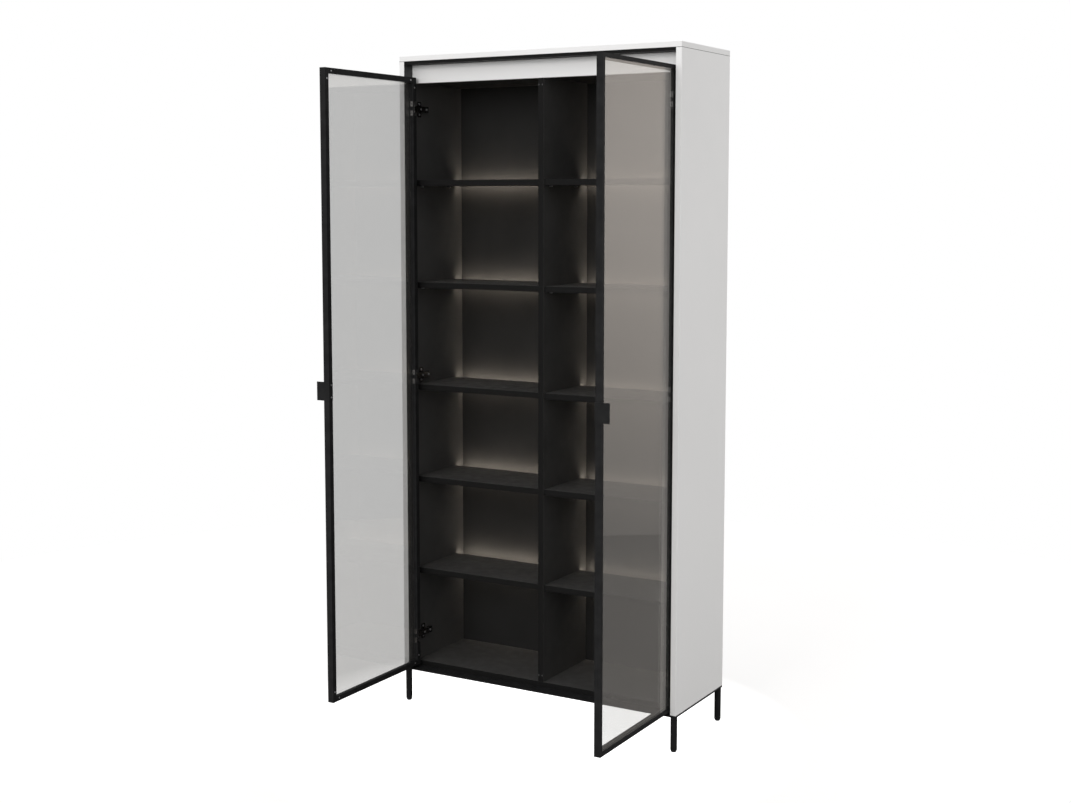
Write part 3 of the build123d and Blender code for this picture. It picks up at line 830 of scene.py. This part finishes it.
class CABINET_OT_door_screws(bpy.types.Operator):
    """Build the cross-recess screws of the door corners and pulls"""

    bl_idname = "cabinet.door_screws"
    bl_label = "Door screws"

    def execute(self, context):
        for name, side in SIDES.items():
            node = f"{name}_door_screws"
            mesh = bmesh.new()
            for low, high in islands(node):
                radius = (high.z - low.z) / 2
                inner = low.x if side > 0 else high.x
                seat = Vector((inner + side * SCREW_HEAD, (low.y + high.y) / 2, (low.z + high.z) / 2))
                cross_screw(mesh, seat, 0, -side, radius, SCREW_HEAD, SCREW_SHANK)
            add_piece(f"{name}_cross_screws", mesh, f"{name}_door", "zinc_steel", node)
        return {"FINISHED"}


class CABINET_OT_small_fittings(bpy.types.Operator):
    """Build the shelf pins, the rubber bumpers and the leg glides"""

    bl_idname = "cabinet.small_fittings"
    bl_label = "Pins, bumpers and glides"

    def execute(self, context):
        kinds = (("shelf_pins", shelf_pin, "chamfered_pins", "zinc_steel"),
                 ("door_bumpers", bumper, "domed_bumpers", "black_rubber"),
                 ("leg_glides", leg_glide, "pressed_glides", "black_plastic"))
        for node, build, name, slot in kinds:
            mesh = bmesh.new()
            for low, high in islands(node):
                build(mesh, low, high)
            add_piece(name, mesh, "cabinet", slot, node)
        return {"FINISHED"}


# Levels of the room's light, and the stretches of direction over which they change: height is the upward
# share of a direction, and the warm side's spread is its closeness to WARM_SIDE.
AMBIENT = 1.0
GROUND_AMBIENT = 0.29
GROUND_RISE = (-0.30, 0.05)
ROOM_COLOUR = (0.985, 0.99, 1.0, 1.0)
BACKDROP = 1.0
BACKDROP_COLOUR = (1.0, 1.0, 1.0, 1.0)
WARM_SIDE = Vector((0.45, 0.89, 0.0))
WARM_SIDE_COLOUR = (1.0, 0.70, 0.42, 1.0)
WARM_SIDE_POWER = 0.22
WARM_SPREAD = (0.93, 0.985)
WARM_RISE = (-0.34, 0.02)
FRONT_BOX_PLACE = Vector((0.0, -7.0, 3.4))
FRONT_BOX_AIM = Vector((0.0, 0.0, 1.0))
FRONT_BOX_SIZE = (1.8, 3.0)
FRONT_BOX_POWER = 175.0
FRONT_BOX_COLOUR = (1.0, 0.995, 0.99)
FLOOR_RADIUS = 3.2
FLOOR_SIDES = 96
CAMERA_PLACE = (2.326, -3.9196, 1.6073)
CAMERA_DIP = math.radians(5.719)
CAMERA_TURN = math.radians(30.316)
CAMERA_LENS = 51.835
CAMERA_SENSOR = 36.0
CAMERA_SHIFT = -0.045
CAMERA_REACH = 200.0


def light_the_room(tree):
    """An even pale room with one warmer, brighter side that fades towards the ground."""
    def eased(source, reach, low, high):
        node = tree.nodes.new("ShaderNodeMapRange")
        node.interpolation_type = "SMOOTHSTEP"
        node.inputs["From Min"].default_value, node.inputs["From Max"].default_value = reach
        node.inputs["To Min"].default_value = low
        node.inputs["To Max"].default_value = high
        tree.links.new(source, node.inputs["Value"])
        return node.outputs["Result"]

    def background(colour):
        node = tree.nodes.new("ShaderNodeBackground")
        node.inputs["Color"].default_value = colour
        return node

    direction = tree.nodes.new("ShaderNodeTexCoord").outputs["Generated"]
    toward = tree.nodes.new("ShaderNodeVectorMath")
    toward.operation = "DOT_PRODUCT"
    toward.inputs[1].default_value = WARM_SIDE
    tree.links.new(direction, toward.inputs[0])
    height = tree.nodes.new("ShaderNodeSeparateXYZ")
    tree.links.new(direction, height.inputs[0])
    share = tree.nodes.new("ShaderNodeMath")
    share.operation = "MULTIPLY"
    tree.links.new(eased(toward.outputs["Value"], WARM_SPREAD, 0.0, 1.0), share.inputs[0])
    tree.links.new(eased(height.outputs["Z"], WARM_RISE, 0.0, WARM_SIDE_POWER), share.inputs[1])
    room = tree.nodes["Background"]
    room.inputs["Color"].default_value = ROOM_COLOUR
    tree.links.new(eased(height.outputs["Z"], GROUND_RISE, GROUND_AMBIENT, AMBIENT), room.inputs["Strength"])
    warm = background(WARM_SIDE_COLOUR)
    tree.links.new(share.outputs[0], warm.inputs["Strength"])
    both = tree.nodes.new("ShaderNodeAddShader")
    tree.links.new(room.outputs[0], both.inputs[0])
    tree.links.new(warm.outputs[0], both.inputs[1])
    backdrop = background(BACKDROP_COLOUR)
    backdrop.inputs["Strength"].default_value = BACKDROP
    path = tree.nodes.new("ShaderNodeLightPath")
    seen = tree.nodes.new("ShaderNodeMixShader")
    tree.links.new(path.outputs["Is Camera Ray"], seen.inputs["Fac"])
    tree.links.new(both.outputs[0], seen.inputs[1])
    tree.links.new(backdrop.outputs[0], seen.inputs[2])
    tree.links.new(seen.outputs[0], tree.nodes["World Output"].inputs["Surface"])


def lay_floor(scene):
    """A round pale floor under the cabinet."""
    mesh = bmesh.new()
    bmesh.ops.create_circle(mesh, cap_ends=True, radius=FLOOR_RADIUS, segments=FLOOR_SIDES)
    data = bpy.data.meshes.new("studio_floor")
    mesh.to_mesh(data)
    mesh.free()
    data.materials.append(pale_floor())
    floor = bpy.data.objects.new("studio_floor", data)
    scene.collection.objects.link(floor)


def hang_front_box(scene):
    """The large soft light in front of the cabinet."""
    data = bpy.data.lights.new("front_box", "AREA")
    data.shape = "RECTANGLE"
    data.size, data.size_y = FRONT_BOX_SIZE
    data.energy = FRONT_BOX_POWER
    data.color = FRONT_BOX_COLOUR
    lamp = bpy.data.objects.new("front_box", data)
    lamp.location = FRONT_BOX_PLACE
    lamp.rotation_euler = (FRONT_BOX_AIM - FRONT_BOX_PLACE).to_track_quat("-Z", "Y").to_euler()
    lamp.visible_camera = False
    scene.collection.objects.link(lamp)


def stand_camera(scene):
    """The camera, a little above eye level and turned to the open doors."""
    data = bpy.data.cameras.new("camera")
    data.lens = CAMERA_LENS
    data.sensor_width = CAMERA_SENSOR
    data.shift_y = CAMERA_SHIFT
    data.clip_end = CAMERA_REACH
    camera = bpy.data.objects.new("camera", data)
    camera.location = CAMERA_PLACE
    camera.rotation_euler = (math.pi / 2 - CAMERA_DIP, 0.0, CAMERA_TURN)
    scene.collection.objects.link(camera)
    scene.camera = camera


class CABINET_OT_stage(bpy.types.Operator):
    """Set up the floor, the studio light and the camera"""

    bl_idname = "cabinet.stage"
    bl_label = "Cabinet stage"

    def execute(self, context):
        scene = context.scene
        lay_floor(scene)
        world = bpy.data.worlds.new("studio")
        world.use_nodes = True
        light_the_room(world.node_tree)
        scene.world = world
        hang_front_box(scene)
        stand_camera(scene)
        scene.view_settings.view_transform = "Standard"
        scene.view_settings.look = "None"
        return {"FINISHED"}


class CABINET_PT_panel(bpy.types.Panel):
    """Cabinet settings and builders"""

    bl_idname = "CABINET_PT_panel"
    bl_label = "China cabinet"
    bl_space_type = "VIEW_3D"
    bl_region_type = "UI"
    bl_category = "Cabinet"

    def draw(self, context):
        settings = context.scene.cabinet_finish
        for name in settings.__annotations__:
            self.layout.prop(settings, name)
        for operator in OPERATORS:
            self.layout.operator(operator.bl_idname)


OPERATORS = (CABINET_OT_finishes, CABINET_OT_hinges, CABINET_OT_door_screws, CABINET_OT_small_fittings,
             CABINET_OT_stage)
CLASSES = (CabinetFinish, *OPERATORS, CABINET_PT_panel)


def register():
    for cls in CLASSES:
        bpy.utils.register_class(cls)
    bpy.types.Scene.cabinet_finish = bpy.props.PointerProperty(type=CabinetFinish)


def unregister():
    del bpy.types.Scene.cabinet_finish
    for cls in reversed(CLASSES):
        bpy.utils.unregister_class(cls)


def main():
    register()
    bpy.ops.cabinet.finishes()
    bpy.ops.cabinet.hinges()
    bpy.ops.cabinet.door_screws()
    bpy.ops.cabinet.small_fittings()
    bpy.ops.cabinet.stage()


if __name__ == "__main__":
    main()
